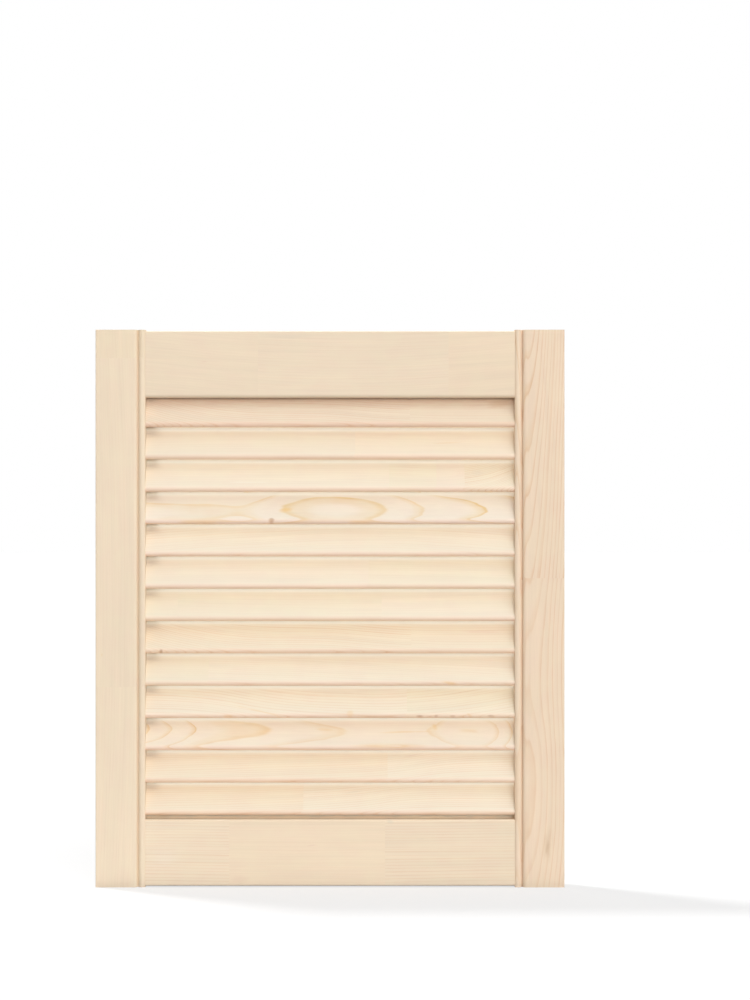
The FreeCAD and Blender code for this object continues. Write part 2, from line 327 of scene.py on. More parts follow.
def seen_from_pith(tree, given):
    """A point's place with the pith as its zero, and its distance from the pith."""
    place = add(tree, "ShaderNodeSeparateXYZ", {0: given["Place"]}).outputs
    depth = calc(tree, "SUBTRACT", place["Y"], given["Pith Depth"])
    across = calc(tree, "SUBTRACT", place["Z"], given["Pith Across"])
    inside = add(tree, "ShaderNodeCombineXYZ", {0: place["X"], 1: depth, 2: across}).outputs[0]
    away = calc(tree, "SQRT", calc(tree, "ADD", calc(tree, "MULTIPLY", depth, depth),
                                   calc(tree, "MULTIPLY", across, across)))
    return inside, away


def ring_age(tree, given, inside, away):
    """The years from the pith to a point: the whole number is the ring, the rest the season."""
    swell = noise(tree, inside, SWELLS, 2.0, Roughness=0.45)
    ripple = noise(tree, inside, RIPPLES, 1.0)
    waver = calc(tree, "MULTIPLY", calc(tree, "SUBTRACT", swell, 0.5), given["Waver"])
    away = calc(tree, "MULTIPLY_ADD", waver, SWELL_REACH, away)
    away = calc(tree, "MULTIPLY_ADD", calc(tree, "SUBTRACT", ripple, 0.5), RIPPLE_REACH, away)
    age = calc(tree, "ADD", calc(tree, "DIVIDE", away, given["Ring Width"]), given["Phase"])
    weather = add(tree, "ShaderNodeTexNoise", {"W": age, "Scale": YEAR_NOISE, "Detail": 1.0},
                  noise_dimensions="1D").outputs[0]
    return calc(tree, "MULTIPLY_ADD", weather, YEAR_REACH, age)


# %% [markdown]
# ## Summer lines
#
# Through each year a Color Ramp turns the season into darkness. It stays near nothing in spring,
# climbs late in the year, and drops soon after the next year begins. No two summers are alike,
# so a random number for each year sets how dark its line is.

# %% Summer lines
WINTER = 0.15                   # the darkness at the turn of the year
SUMMER = ((0.05, 0.0), (0.55, 0.05), (0.82, 0.70), (0.93, 1.0))
FAINTEST = 0.4                  # the strength of the faintest line, where the darkest has 1


def summer_lines(tree, given, age):
    """How dark the summer wood is at a point. SUMMER holds shares of the year and the darkness."""
    season = add(tree, "ShaderNodeValToRGB", {0: calc(tree, "FRACT", age)})
    season.color_ramp.interpolation = "EASE"
    for end in season.color_ramp.elements:
        end.color = (WINTER, WINTER, WINTER, 1)
    for at, level in SUMMER:
        stop = season.color_ramp.elements.new(at)
        stop.color = (level, level, level, 1)
    this_year = add(tree, "ShaderNodeTexWhiteNoise", {"W": calc(tree, "FLOOR", age)},
                    noise_dimensions="1D").outputs["Value"]
    strength = calc(tree, "MULTIPLY_ADD", this_year, 1 - FAINTEST, FAINTEST)
    thinner = calc(tree, "ADD", given["Thin Lines"], 1.0)
    return calc(tree, "MULTIPLY", calc(tree, "POWER", season.outputs[0], thinner), strength)


# %% [markdown]
# ## Fibres and colour
#
# Fibres run along the tree as very long and very thin streaks, with broader strands and soft
# clouds among them. They make the wood a little lighter and darker. End grain drinks in light and
# is darker still. The colour itself passes from spring wood to summer wood by the dark lines, and
# a faint blush comes and goes over both.

# %% Shade
FIBRES = (22, 1500, 1500)       # changes in a metre along the tree and both ways across it
STRANDS = (9, 260, 260)
CLOUDS = (10, 34, 34)
END_SHADE = -0.20


def pine_shade(tree, given, inside, fibre):
    """Streaks and clouds as a factor near 1, less on end grain."""
    strand = noise(tree, inside, STRANDS, 2.0)
    cloud = noise(tree, inside, CLOUDS, 2.0)
    shade = 1.0
    for pattern, reach in ((fibre, 0.10), (strand, 0.09), (cloud, 0.09)):
        shade = calc(tree, "MULTIPLY_ADD", calc(tree, "SUBTRACT", pattern, 0.5), reach, shade)
    return calc(tree, "MULTIPLY_ADD", given["End Grain"], END_SHADE, shade)


# %% Colour
SPRING_WOOD = (0.905, 0.775, 0.605, 1)
SUMMER_WOOD = (0.800, 0.580, 0.375, 1)
RESIN_WOOD = (0.820, 0.590, 0.280, 1)
CREAMY = (1.0, 1.0, 0.985, 1)
BLUSH = (1.0, 0.978, 0.978, 1)
PATCHES = (60, 90, 90)          # changes in a metre, for the blush and for weak spots in the lines
WEAK_SPOT = 0.35                # what is left of a line at its weakest
PATCH_GAIN = 1.2
BLUSH_STARTS = 0.35             # levels of the patches
BLUSH_FULL = 0.65


def pine_colour(tree, given, inside, dark_line, shade):
    """Spring wood with the summer lines over it, more amber where the board has resin."""
    patch = noise(tree, inside, PATCHES, 1.0)
    line = calc(tree, "MULTIPLY", dark_line, calc(tree, "MULTIPLY_ADD", patch, PATCH_GAIN, WEAK_SPOT))
    summer = blend(tree, given["Resin"], SUMMER_WOOD, RESIN_WOOD)
    colour = blend(tree, calc(tree, "MULTIPLY", line, given["Figure"]), SPRING_WOOD, summer)
    colour = add(tree, "ShaderNodeVectorMath", {0: colour, "Scale": shade},
                 operation="SCALE").outputs[0]
    blush = ramp_up(tree, patch, BLUSH_STARTS, BLUSH_FULL)
    colour = times(tree, colour, blend(tree, blush, CREAMY, BLUSH))
    return times(tree, colour, given["Tone"])


# %% The solid pine recipe
SANDED_ROUGHNESS = 0.52
FIBRE_DULL = 0.12               # how much rougher the fibres are, at most
LINE_DULL = -0.12               # how much smoother the hard summer lines are
FIBRE_HEIGHT = 0.8
LINE_HEIGHT = 0.5


def pine_recipe():
    """The whole recipe as one node group, which each board uses with its own values."""
    tree = bpy.data.node_groups.new("pine_wood", "ShaderNodeTree")
    given = recipe_sockets(tree)
    inside, away = seen_from_pith(tree, given)
    dark_line = summer_lines(tree, given, ring_age(tree, given, inside, away))
    fibre = noise(tree, inside, FIBRES, 3.0, Roughness=0.6)
    colour = pine_colour(tree, given, inside, dark_line, pine_shade(tree, given, inside, fibre))
    height = calc(tree, "MULTIPLY_ADD", dark_line, LINE_HEIGHT,
                  calc(tree, "MULTIPLY", fibre, FIBRE_HEIGHT))
    rough = calc(tree, "MULTIPLY_ADD", dark_line, LINE_DULL,
                 calc(tree, "MULTIPLY_ADD", fibre, FIBRE_DULL, SANDED_ROUGHNESS))
    add(tree, "NodeGroupOutput", {"Colour": colour, "Height": height, "Roughness": rough})
    return tree


PINE = pine_recipe()
print("pine recipe:", len(PINE.nodes), "nodes")

# %% [markdown]
# ## A board and its lengths
#
# Doors of this kind are made from finger-jointed stock: short clear lengths glued end to end, and
# then planed. Across each joint the rings and the tone change at once. A board here has a table of
# such lengths. Along the board the pith wanders, as the trunk did, which turns straight lines
# into arches wherever the saw ran close beside it. A curve node holds the pith's way and a ramp
# in steps holds the lengths. Both hold levels from 0 to 1, so millimetres are turned into levels
# and back.

# %% Millimetres and levels
REACH = 120.0                   # millimetres that the pith can be moved either way


def to_share(millimetres, length):
    """A place along a board, counted from its middle, as a share of its length."""
    return 0.5 + millimetres / length


def to_level(millimetres):
    """A move of the pith as a level from 0 to 1."""
    return 0.5 + millimetres / (2 * REACH)


def from_level(tree, level):
    """A level as a move of the pith, in metres."""
    return calc(tree, "MULTIPLY_ADD", level, 2 * REACH * MM, -REACH * MM)


# %% Curves and steps along a board
def path_curve(tree, share, length, places):
    """The pith's way along a board, through places given as millimetres along and aside."""
    curve = add(tree, "ShaderNodeFloatCurve", {"Value": share})
    line = curve.mapping.curves[0]
    while len(line.points) < len(places):
        line.points.new(0.5, 0.5)
    for point, (along, aside) in zip(line.points, places):
        point.location = (to_share(along, length), to_level(aside))
        point.handle_type = "AUTO"
    curve.mapping.update()
    return from_level(tree, curve.outputs[0])


def length_steps(tree, where, starts, colours):
    """A Color Ramp in flat steps: the first colour, and then each next one from its start."""
    made = add(tree, "ShaderNodeValToRGB", {0: where})
    ramp = made.color_ramp
    ramp.interpolation = "CONSTANT"
    ramp.elements.remove(ramp.elements[-1])
    ramp.elements[0].color = (*colours[0], 1)
    for at, colour in zip(starts, colours[1:]):
        stop = ramp.elements.new(at)
        stop.color = (*colour, 1)
    return made.outputs[0]


# %% [markdown]
# ## Marks of a living tree
#
# No two boards are alike because of small things: a pitch streak, a rusty stain, the dark nick
# where a knot was. Each mark is a soft ellipse on the board, given by its place along and across
# the board, its half length and half width, its lean, and how strong it is, with a ragged edge
# from a noise. A few marks are painted shade instead, laid where shadow falls on the door.

# %% Marks
MARK_COLOURS = {
    "amber": (0.800, 0.560, 0.250, 1),
    "rust": (0.760, 0.520, 0.400, 1),
    "brown": (0.560, 0.340, 0.180, 1),
    "grey": (0.740, 0.640, 0.500, 1),
    "pale": (0.985, 0.945, 0.840, 1),
    "olive": (0.640, 0.590, 0.480, 1),
    "umber": (0.695, 0.490, 0.320, 1),
    "dun": (0.650, 0.545, 0.440, 1),
}
RAGGED = (90, 90, 380)          # changes in a metre along, into and across the board
CLEAR_MARK = 0.15               # the share of a mark's radius within which it is at its strongest


def put_marks(tree, colour, laid, marks):
    """Lays each mark over the colour. laid is the point's place on the board."""
    ragged = noise(tree, laid, RAGGED, 2.0)
    for kind, along, across, half_length, half_width, lean, strength in marks:
        own = add(tree, "ShaderNodeMapping",
                  {"Vector": laid, "Location": (along * MM, 0, across * MM),
                   "Rotation": (0, -math.radians(lean), 0),
                   "Scale": (half_length * MM, 1, half_width * MM)}, vector_type="TEXTURE").outputs[0]
        away = add(tree, "ShaderNodeVectorMath", {0: times(tree, own, (1, 0, 1))}, operation="LENGTH")
        away = calc(tree, "ADD", away.outputs["Value"], calc(tree, "SUBTRACT", ragged, 0.5))
        there = add(tree, "ShaderNodeMapRange",
                    {"Value": away, "From Min": 1.0, "From Max": CLEAR_MARK, "To Max": strength},
                    interpolation_type="SMOOTHSTEP").outputs[0]
        colour = blend(tree, there, colour, MARK_COLOURS[kind])
    return colour


# %% [markdown]
# ## Laying a board
#
# The recipe wants every board in one pose: X along it, Y into it, Z across it. A Mapping node set
# to Texture moves and turns the point instead of the board. It reads Object coordinates, so the
# grain stays in the wood however the door moves. Where the surface faces along the board, it is
# end grain.

# %% Laying a board
LEVEL = (0, 0, 0)                       # for a board that already runs along X
UPRIGHT = (0, math.radians(90), 0)      # for a board that runs along Z
END_STARTS = 0.5                        # how squarely a surface faces along the board
END_FULL = 0.9


def board_length(node, turn):
    """The length of a board in millimetres, from its CAD box."""
    low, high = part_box(node)
    return (high - low)[2 if turn == UPRIGHT else 0] / MM


def lay_board(tree, node, turn):
    """A point's place on the board, and whether the surface there is end grain."""
    low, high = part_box(node)
    coord = add(tree, "ShaderNodeTexCoord").outputs
    laid = add(tree, "ShaderNodeMapping",
               {"Vector": coord["Object"], "Location": (low + high) / 2, "Rotation": turn},
               vector_type="TEXTURE").outputs[0]
    facing = add(tree, "ShaderNodeMapping", {"Vector": coord["Normal"], "Rotation": turn},
                 vector_type="TEXTURE").outputs[0]
    ends = calc(tree, "ABSOLUTE", add(tree, "ShaderNodeSeparateXYZ", {0: facing}).outputs["X"])
    return laid, ramp_up(tree, ends, END_STARTS, END_FULL)


# %% [markdown]
# ## Joints and pith
#
# The glued fingers of a joint show as a zigzag on the edges of a board and as a straight line on
# its face. Bending the way along the board to and fro with the depth does just that. Each length
# then says how far its pith lies from that of the board and how strongly its rings show.

# %% Joints and pith
FINGER_HALF = 1.9 * MM          # half the depth of wood that one finger takes up
FINGER_SLOPE = 2.2              # how far a finger runs along the board, for each unit of depth


def board_growth(tree, parts, length, path, lengths):
    """The pith's place beside a point, and the tone and the strength of the rings there."""
    zigzag = calc(tree, "PINGPONG", parts["Y"], FINGER_HALF)
    jointed = calc(tree, "MULTIPLY_ADD", zigzag, FINGER_SLOPE, parts["X"])
    half = length / 2 * MM
    share = ramp_up(tree, parts["X"], -half, half)
    stepped = ramp_up(tree, jointed, -half, half)
    starts = [to_share(start, length) for start, *_ in lengths[1:]]
    tone = length_steps(tree, stepped, starts, [tone for _, tone, *_ in lengths])
    jumps = length_steps(tree, stepped, starts,
                         [(to_level(a), to_level(d), shown) for *_, a, d, shown in lengths])
    jump_across, jump_depth, shown = add(tree, "ShaderNodeSeparateXYZ", {0: jumps}).outputs
    across = path_curve(tree, share, length, [(along, a) for along, a, _ in path])
    depth = path_curve(tree, share, length, [(along, d) for along, _, d in path])
    return (calc(tree, "ADD", across, from_level(tree, jump_across)),
            calc(tree, "ADD", depth, from_level(tree, jump_depth)), tone, shown)


# %% [markdown]
# ## The edges of a slat: painted light and shade
#
# On the real door the lower lip of each slat looks a little pinker than its face, a paler band
# lies on the face just below the lip of the slat above, and the left end is darker near the top.
# Most of that is light, and the lamps here give only a part of it. Three touches of colour in the
# wood paint the rest: a painted shade tint on the lip, a painted highlight band, and painted shade
# at the left end.

# %% The edges of a slat
# Painted shade: each slat is darker at its left end near its upper edge, where the left stile keeps the
# light from behind off it.
LEFT_END_SHADE = ("dun", -137, 12.0, 19, 10.0, 0, 0.85)    # a mark that every slat has
# The lip's painted shade tint, where it starts and is full, and its colour:
LIP_STARTS = -10.5 * MM         # across the slat, from its middle
LIP_FULL = -12.8 * MM
LIP_SHADE_TINT = (1.10, 0.96, 0.94)
# Painted highlight: a pale band on each slat's front, below the lip of the slat above, where light from
# behind falls.
BAND_SPAN = 20.0                # millimetres across the slat that the band's curve covers
HIGHLIGHT_BAND = ((6.0, 0.0), (7.4, 0.15), (8.2, 0.35), (9.0, 0.65), (10.0, 1.0), (11.0, 1.0), (12.0, 0.0))
FRONT_STARTS = -1.2 * MM        # into the slat, from its middle
FRONT_FULL = -2.4 * MM


def painted_lip_shade(tree, colour, parts):
    """Painted shade colour: the lower edge of a slat made a little pinker, like the warm shade under its
    lip.
    """
    lip = ramp_up(tree, parts["Z"], LIP_STARTS, LIP_FULL)
    return blend(tree, lip, colour, times(tree, colour, LIP_SHADE_TINT))


def painted_highlight_band(tree, colour, parts):
    """The painted highlight: a pale band on the front. Its table of points holds millimetres across the
    slat and the strength.
    """
    share = calc(tree, "MULTIPLY", parts["Z"], 1 / (BAND_SPAN * MM))
    band = add(tree, "ShaderNodeFloatCurve", {"Value": share})
    bell = band.mapping.curves[0]
    for across, level in HIGHLIGHT_BAND:
        bell.points.new(across / BAND_SPAN, level)
    bell.points[-1].location = (1.0, 0.0)
    band.mapping.update()
    front = ramp_up(tree, parts["Y"], FRONT_STARTS, FRONT_FULL)
    there = calc(tree, "MULTIPLY", band.outputs[0], front)
    return blend(tree, there, colour, MARK_COLOURS["pale"])


# %% [markdown]
# ## One material for one board
#
# A board's material puts these steps together and ends in a Principled shader. Its bump is far
# too fine to be seen as relief and only breaks up the shine: sanded wood without any finish.

# %% The sanded surface
SANDED_RELIEF = 0.04 * MM
WOOD_SHINE = 0.30


def sanded_surface(tree, colour, wood):
    """Bare sanded wood of the given colour."""
    sanded = add(tree, "ShaderNodeBump",
                 {"Height": wood["Height"], "Distance": SANDED_RELIEF, "Strength": 0.5})
    surface = add(tree, "ShaderNodeBsdfPrincipled",
                  {"Base Color": colour, "Roughness": wood["Roughness"],
                   "Normal": sanded.outputs[0], "Specular IOR Level": WOOD_SHINE})
    add(tree, "ShaderNodeOutputMaterial", {"Surface": surface.outputs[0]})


# %% One material for one board
def pine_board(node, name, turn, path, lengths, ring, figure, resin=0.1, thin=0.5, waver=1.0,
               phase=0.0, marks=(), slat=False, pale=False):
    """The wood of one board. turn lays it along X with its face to the front. path is the pith's
    way in millimetres: along, across, depth. A length is its start, its tone, its jumps across
    and in depth, and how strongly its rings show. ring is the width of a ring in millimetres."""
    material = bare_material(name)
    tree = material.node_tree
    laid, end_grain = lay_board(tree, node, turn)
    parts = add(tree, "ShaderNodeSeparateXYZ", {0: laid}).outputs
    across, depth, tone, shown = board_growth(tree, parts, board_length(node, turn), path, lengths)
    wood = add(tree, "ShaderNodeGroup",
               {"Place": laid, "Pith Across": across, "Pith Depth": depth, "Tone": tone,
                "Figure": calc(tree, "MULTIPLY", shown, figure), "End Grain": end_grain,
                "Ring Width": ring * MM, "Resin": resin, "Thin Lines": thin, "Waver": waver,
                "Phase": phase}, node_tree=PINE).outputs
    # For a slat, the marks also lay painted shade on its left end.
    colour = put_marks(tree, wood["Colour"], laid, (*marks, LEFT_END_SHADE) if slat else marks)
    # A slat's lip gets a painted shade tint.
    if slat:
        colour = painted_lip_shade(tree, colour, parts)
    # The painted highlight band, under the lip of the slat above.
    if pale:
        colour = painted_highlight_band(tree, colour, parts)
    sanded_surface(tree, colour, wood)
    return material


# %% [markdown]
# ## The stiles and rails
#
# The two uprights carry a rounded step, a groove and a bead along their inner edges, cut by a
# moulding cutter in one pass, so the CAD pieces already have the right shape and stay. They only
# need their wood. On the front of this door the left stile and both rails are plain and pale, and
# the right stile is pinker, with flame-like grain near its top and a healed knot near its foot.
# The bottom rail carries painted shade along its upper edge, under the last slat.

# %% Wood for the stiles
PALE = (0.958, 0.933, 0.903)
PALE_TOP = (0.950, 0.926, 0.878)
PINKISH = (0.960, 0.900, 0.868)

STILE_WOOD = {
    "left_stile": dict(
        ring=1.9, figure=0.18, path=[(-204, 34, 12), (0, 38, 14), (204, 33, 12)],
        lengths=[(None, PALE_TOP, 6, 0, 1), (-181, PALE, 0, 0, 1), (60, PALE, 4, 6, 1)],
        marks=[("amber", 34, -13.5, 1.6, 0.9, 0, 0.30), ("rust", -60, 2, 30, 5, 2, 0.10)]),
    "right_stile": dict(
        ring=2.0, figure=0.92, waver=0.7,
        path=[(-204, -9, 0), (-140, -10, 4), (-60, -11, 8), (0, -12, 11), (60, -12, 12),
              (130, -13, 9), (204, -14, 12)],
        lengths=[(None, PINKISH, 0, 0, 1), (-20, PINKISH, 4, 3, 0.8)],
        marks=[("umber", 173, 6.0, 17, 4.2, -5, 0.45), ("brown", 175, 5.5, 7, 1.8, -6, 0.30),
               ("rust", 190, -7, 16, 2.2, 4, 0.18), ("rust", -172, 3, 20, 2.0, 6, 0.16)]),
}

# %% Wood for the rails
# The top rail's tones are a little darker and the bottom rail's a little paler than the stiles': painted
# shade on the top rail and painted light on the bottom rail, which even out the light that is weaker near
# the floor.
RAIL_WOOD = {
    "top_rail": dict(
        ring=1.7, figure=0.20, path=[(-135, 60, 22), (0, 52, 20), (135, 58, 20)],
        lengths=[(None, (0.940, 0.910, 0.882), 0, 0, 0.7), (-50, (0.944, 0.918, 0.892), -14, 6, 1),
                 (89, (0.944, 0.906, 0.868), 9, -4, 0.7)],
        marks=[("grey", -34, 20.5, 26, 2.6, 0, 0.34), ("rust", -92, 2, 3, 0.8, 0, 0.25)]),
    "bottom_rail": dict(
        ring=1.9, figure=0.62, waver=0.5, path=[(-135, -66, 26), (0, -67, 26), (135, -66, 26)],
        lengths=[(None, (0.975, 0.950, 0.925), 0, 0, 1.1), (-72, (0.975, 0.940, 0.900), 13, 5, 0.3),
                 (43, (0.970, 0.946, 0.918), 4, 2, 1.0)],
        # Painted shade: the olive strip along the upper edge, darkest at its left end with the umber
        # spot.
        marks=[("olive", 0, 25.0, 900, 3.0, 0, 1.0), ("umber", -125, 25.0, 10, 3.0, 0, 0.60),
               ("grey", -120, 19, 26, 6, 0, 0.12), ("pale", -122, -6, 16, 9, 0, 0.14),
               ("rust", -66, -22, 9, 4, 0, 0.20), ("grey", 44, 20.5, 3.5, 2.2, -30, 0.45),
               ("rust", -14, 3, 5, 0.7, 8, 0.25), ("grey", 66, 8, 6, 1.0, 0, 0.20)]),
}

# %% The frame gets its wood
for turn, boards in ((UPRIGHT, STILE_WOOD), (LEVEL, RAIL_WOOD)):
    for node, recipe in boards.items():
        NODES[node].material_slots[0].material = pine_board(node, "pine_" + node, turn, **recipe)
        print(node, "has", len(recipe["lengths"]), "lengths and", len(recipe["marks"]), "marks")

# %% [markdown]
# ## The dowels
#
# Each rail joint hides two pins of beech. They don't show on a finished door, yet they get their
# wood too: the same recipe with very fine, faint rings and a darker tone.

# %% Wood for the dowels
BEECH = (0.880, 0.800, 0.730)
DOWEL_WOOD = dict(ring=1.2, figure=0.1, path=[(-20, 50, 30), (20, 50, 30)],
                  lengths=[(None, BEECH, 0, 0, 1)])

for node in sorted(name for name in NODES if name.startswith("dowel")):
    NODES[node].material_slots[0].material = pine_board(node, "beech_" + node, LEVEL, **DOWEL_WOOD)
    print(node, "is", round(board_length(node, LEVEL), 1), "mm long")

# %% [markdown]
# ## The slats
#
# Thirteen slats repeat at an even spacing, each a strip with full round edges, tilted with its
# lower edge to the front. A rule like this is what Geometry Nodes are for: one tree draws a
# section, rounds it, runs it along the slat, tilts it and puts it in its place.

# %% The inputs of the slat tree
SLAT_INPUTS = {"Length": "NodeSocketFloat", "Width": "NodeSocketFloat",
               "Thickness": "NodeSocketFloat", "Tilt": "NodeSocketFloat",
               "Middle": "NodeSocketVector", "Wood": "NodeSocketMaterial"}


def slat_sockets(tree):
    """Names the inputs and the output of the tree, and hands on the values that it is given."""
    for name, kind in SLAT_INPUTS.items():
        tree.interface.new_socket(name, in_out="INPUT", socket_type=kind)
    tree.interface.new_socket("Slat", in_out="OUTPUT", socket_type="NodeSocketGeometry")
    return add(tree, "NodeGroupInput").outputs


# %% The section and the bar
NEARLY_HALF = 0.4999            # of the thickness, so that two rounded corners don't quite meet
ROUND_STEPS = 10                # straight steps in each rounded corner
SAME_PLACE = 0.01 * MM          # points closer than this are made one


def round_section(tree, given):
    """The slat's section: a rectangle, its corners rounded until its ends are half circles."""
    section = add(tree, "GeometryNodeCurvePrimitiveQuadrilateral",
                  {"Width": given["Thickness"], "Height": given["Width"]})
    rounding = calc(tree, "MULTIPLY", given["Thickness"], NEARLY_HALF)
    return add(tree, "GeometryNodeFilletCurve",
               {"Curve": section.outputs[0], "Count": ROUND_STEPS, "Radius": rounding},
               mode="POLY").outputs[0]


def slat_bar(tree, given):
    """The section run along the slat's length, closed at both ends."""
    half = calc(tree, "MULTIPLY", given["Length"], 0.5)
    start = add(tree, "ShaderNodeCombineXYZ", {0: calc(tree, "MULTIPLY", half, -1.0)})
    end = add(tree, "ShaderNodeCombineXYZ", {0: half})
    run = add(tree, "GeometryNodeCurvePrimitiveLine",
              {"Start": start.outputs[0], "End": end.outputs[0]})
    bar = add(tree, "GeometryNodeCurveToMesh",
              {"Curve": run.outputs[0], "Profile Curve": round_section(tree, given),
               "Fill Caps": True})
    return add(tree, "GeometryNodeMergeByDistance",
               {"Geometry": bar.outputs[0], "Distance": SAME_PLACE}).outputs[0]


# %% The slat tree
def slat_tree():
    """The whole tree: draw the bar, tilt it, put it in its place and give it its wood."""
    tree = bpy.data.node_groups.new("louvre_slat", "GeometryNodeTree")
    given = slat_sockets(tree)
    lean = add(tree, "ShaderNodeCombineXYZ", {0: given["Tilt"]})
    tilted = add(tree, "GeometryNodeTransform",
                 {"Geometry": slat_bar(tree, given), "Translation": given["Middle"],
                  "Rotation": lean.outputs[0]})
    real = add(tree, "GeometryNodeRealizeInstances", {"Geometry": tilted.outputs[0]})
    wood = add(tree, "GeometryNodeSetMaterial",
               {"Geometry": real.outputs[0], "Material": given["Wood"]})
    add(tree, "NodeGroupOutput", {0: wood.outputs[0]})
    return tree


SLAT_TREE = slat_tree()
SOCKETS = {item.name: item.identifier for item in SLAT_TREE.interface.items_tree
           if item.in_out == "INPUT"}
print("slat tree:", len(SLAT_TREE.nodes), "nodes")

# %% [markdown]
# ## One slat from the tree
#
# A modifier on an empty mesh runs the tree. Its inputs are set by the sockets' identifiers before
# the mesh is first worked out. The result is then copied into a plain mesh of its own, which
# takes the place of the CAD slat, and the modifier goes.

# %% One slat from the tree
SLAT_WIDTH = 27.3 * MM
SLAT_THICKNESS = 5.5 * MM
SLAT_TILT = math.radians(-31)
SHARP_FROM = math.radians(40)   # only the rims of the ends are sharper than this


def grown_mesh(node, wood):
    """The slat's mesh, drawn by the tree to the length and place of the CAD slat."""
    low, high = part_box(node)
    carrier = bpy.data.objects.new(node + "_maker", bpy.data.meshes.new(node + "_maker"))
    scene.collection.objects.link(carrier)
    modifier = carrier.modifiers.new("slat", "NODES")
    modifier.node_group = SLAT_TREE
    values = {"Length": (high - low).x, "Width": SLAT_WIDTH, "Thickness": SLAT_THICKNESS,
              "Tilt": SLAT_TILT, "Middle": (low + high) / 2, "Wood": wood}
    for name, value in values.items():
        modifier[SOCKETS[name]] = value
    ready = carrier.evaluated_get(bpy.context.evaluated_depsgraph_get())
    mesh = bpy.data.meshes.new_from_object(ready)
    bpy.data.objects.remove(carrier)
    return mesh


def make_slat(node, wood):
    """One finished slat in place of the CAD slat of that node."""
    mesh = grown_mesh(node, wood)
    mesh.name = node + "_wood"
    slat = bpy.data.objects.new(node + "_wood", mesh)
    scene.collection.objects.link(slat)
    mesh.shade_smooth()
    mesh.set_sharp_from_angle(angle=SHARP_FROM)
    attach(slat, "root")
    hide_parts(node)
    return slat


# %% [markdown]
# ## Thirteen boards, one by one
#
# The slats are what the eye reads, so each has its own row in a table: where its pith ran, where
# its finger joints lie, how strong its rings are, and its marks. The fourth and the eleventh were
# sawn flat to the rings, so that theirs show as arches and closed ovals, long ones on the fourth
# and several short ones on the eleventh. The others are plain, with fine lines that run level or
# at a slight slant.

# %% The upper slats
CREAM = (0.965, 0.985, 0.990)
WARM = (0.955, 0.950, 0.920)
GREENISH = (0.953, 0.980, 0.962)
ROSY = (0.955, 0.952, 0.965)

SLAT_WOOD = {
    # The first slat lies in the top rail's shade: its darker tones, the long rust strip over its upper
    # half and the umber spot at its right end are painted shade.
    1: dict(ring=1.7, figure=0.95,
            path=[(-139, 50, 12), (-100, 38, 12), (-66, 33, 11), (0, 31, 11), (50, 27, 11),
                  (139, 26, 11)],
            lengths=[(None, (0.930, 0.912, 0.915), 0, 0, 1), (60, (0.925, 0.910, 0.900), 3, 2, 0.5)],
            marks=[("rust", 0, 14.0, 900, 15.0, 0, 0.50), ("umber", 125, 4.5, 14, 5.0, 0, 0.50)]),
    2: dict(ring=1.6, figure=0.14, path=[(-139, 44, 14), (0, 45, 14), (139, 42, 14)],
            lengths=[(None, (0.940, 0.950, 0.935), 0, 0, 1), (20, WARM, 5, 2, 0.6)],
            marks=[("amber", 86, -1.5, 14, 0.6, 3, 0.30), ("rust", 30, 6, 60, 3, 0, 0.10)]),
    3: dict(ring=1.4, figure=0.36, path=[(-139, 40, 16), (40, 41, 16), (100, 42, 15), (139, 56, 12)],
            lengths=[(None, CREAM, 0, 0, 0.7), (45.5, GREENISH, -12, 3, 1), (80, ROSY, -12, 3, 0.6),
                     (101, (0.950, 0.965, 0.950), 0, 0, 3.2)],
            marks=[("pale", -60, -7.5, 16, 0.7, 0, 0.35), ("grey", 109, 0, 6, 4, 0, 0.35)]),
    4: dict(ring=3.0, figure=1.25, resin=1.0, thin=1.8, waver=0.20, phase=0.40,
            path=[(-139, -6.0, 32.4), (-110, -6.2, 32.8), (-85, -5.6, 33.0), (-62, -4.4, 33.2),
                  (-34, -3.0, 30.8), (4, -3.4, 28.8), (42, -3.4, 30.8), (70, -3.8, 33.6),
                  (117, -3.4, 36.8), (139, -3.4, 38.5)],
            lengths=[(None, (0.950, 0.978, 1.030), 0, 0, 1)],
            marks=[("amber", -32.5, -3.6, 6.5, 2.6, 8, 0.85), ("brown", -43, -12.2, 2.8, 2.6, 0, 0.95),
                   ("amber", -92, -13.0, 24, 1.4, 0, 0.55), ("amber", 22, -13.0, 11, 1.2, 0, 0.55)]),
    5: dict(ring=1.9, figure=0.42, path=[(-139, 27, 14), (-60, 33, 14), (30, 37, 14), (139, 30, 14)],
            lengths=[(None, CREAM, 0, 0, 1)], marks=[("rust", 60, 9.5, 24, 0.8, -5, 0.22)]),
    6: dict(ring=1.7, figure=0.16, path=[(-139, 48, 16), (0, 50, 16), (139, 47, 16)],
            lengths=[(None, CREAM, 0, 0, 1), (30, GREENISH, 6, 3, 1)]),
}

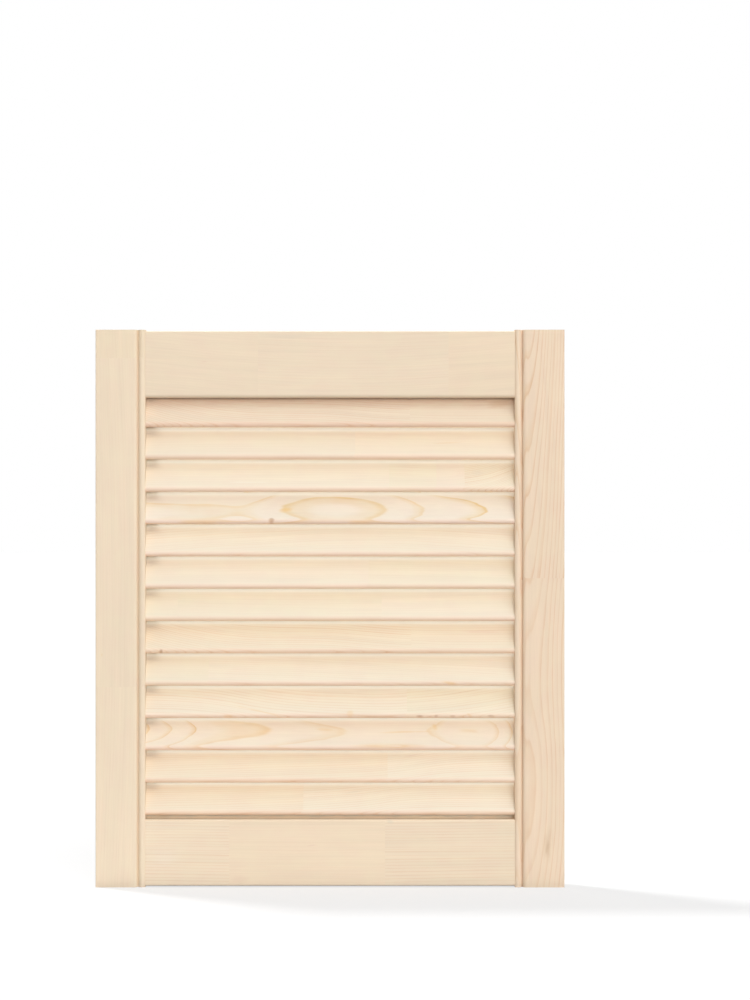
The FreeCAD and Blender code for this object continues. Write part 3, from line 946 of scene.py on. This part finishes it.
# %% The lower slats
SLAT_WOOD |= {
    7: dict(ring=1.6, figure=0.16, path=[(-139, 52, 16), (0, 50, 16), (139, 52, 16)],
            lengths=[(None, (0.960, 0.985, 0.965), 0, 0, 0.8), (-110, GREENISH, 5, 2, 1),
                     (40, CREAM, 9, 3, 1)]),
    8: dict(ring=1.7, figure=0.95,
            path=[(-139, 50, 12), (-100, 39, 12), (-66, 34, 11), (0, 32, 11), (60, 27, 11),
                  (139, 26, 11)],
            lengths=[(None, WARM, 0, 0, 1), (62, WARM, 3, 2, 0.5)],
            marks=[("rust", 112, 2.5, 18, 1.8, 0, 0.25), ("brown", -124, -12.8, 2.0, 1.4, 0, 0.95)]),
    9: dict(ring=1.5, figure=0.45, path=[(-139, 46, 14), (-60, 44, 14), (40, 40, 13), (139, 34, 13)],
            lengths=[(None, GREENISH, 0, 0, 0.4), (-88, CREAM, -7, 2, 1)],
            marks=[("amber", 87, -12.6, 9, 1.3, -6, 0.65)]),
    10: dict(ring=2.1, figure=0.70,
             path=[(-139, 37, 12), (-90, 34, 12), (-40, 26, 11), (20, 22, 11), (58, 22, 12),
                   (139, 34, 12)],
             lengths=[(None, CREAM, 0, 0, 1), (58.7, GREENISH, 12, 2, 1)],
             marks=[("amber", -50, -10.2, 24, 0.8, -14, 0.45), ("amber", 14.7, -11.5, 3.4, 3.0, 30, 0.45),
                    ("brown", 66, -13.2, 3.5, 0.9, 0, 0.60), ("brown", 78, -13.0, 2.4, 1.0, 0, 0.50),
                    ("brown", 90, -13.2, 3.0, 0.8, 0, 0.45), ("amber", 102, -12.4, 3.0, 1.4, -25, 0.45),
                    ("brown", 118, -13.0, 3.5, 0.9, 0, 0.50), ("amber", -75, -13.2, 5.0, 1.0, 0, 0.40)]),
    11: dict(ring=2.6, figure=1.05, resin=0.75, thin=1.4, waver=0.30, phase=-0.37,
             path=[(-139, 2.0, 19.5), (-117, 1.5, 22.6), (-99, 1.0, 25.4), (-50, 0.5, 28.2),
                   (3, 0.0, 30.5), (40, 0.5, 31.4), (75, 1.0, 30.45), (92, 1.0, 28.6),
                   (104, 0.5, 28.35), (112, 0.0, 28.7), (123, 0.0, 30.4), (133, 0.0, 33.0),
                   (139, 0.0, 35.0)],
             lengths=[(None, ROSY, 0, 0, 1)],
             marks=[("amber", -4, 1.5, 9, 1.6, -6, 0.35), ("amber", 77, 4.0, 2.6, 3.4, 20, 0.55),
                    ("amber", 54, -0.5, 26, 1.1, 1, 0.45)]),
    12: dict(ring=1.6, figure=0.75,
             path=[(-139, 42, 13), (-40, 45, 13), (44, 49, 13), (90, 56, 12), (139, 58, 12)],
             lengths=[(None, WARM, 0, 0, 0.8), (44, CREAM, -9, 2, 1)],
             marks=[("rust", 64, 7.5, 16, 0.7, 12, 0.30)]),
    13: dict(ring=1.6, figure=0.80,
             path=[(-139, 40, 13), (-30, 43, 13), (20, 47, 12), (60, 52, 12), (139, 53, 12)],
             lengths=[(None, WARM, 0, 0, 0.8), (-18, CREAM, -8, 2, 1)],
             marks=[("grey", 16, 3.0, 12, 0.9, 10, 0.35)]),
}

# %% [markdown]
# ## The slats go in
#
# Each slat gets its material, then its mesh. The first slat reaches up behind the top rail, which
# hides its upper edge, so it has no pale band.

# %% Thirteen slats
for number, recipe in SLAT_WOOD.items():
    node = f"slat_{number:02d}"
    # Every slat but the first gets the painted highlight band.
    wood = pine_board(node, "pine_" + node, (SLAT_TILT, 0, 0), slat=True, pale=number > 1, **recipe)
    slat = make_slat(node, wood)
    print(node, "has", len(slat.data.polygons), "faces and", len(recipe.get("marks", ())), "marks")
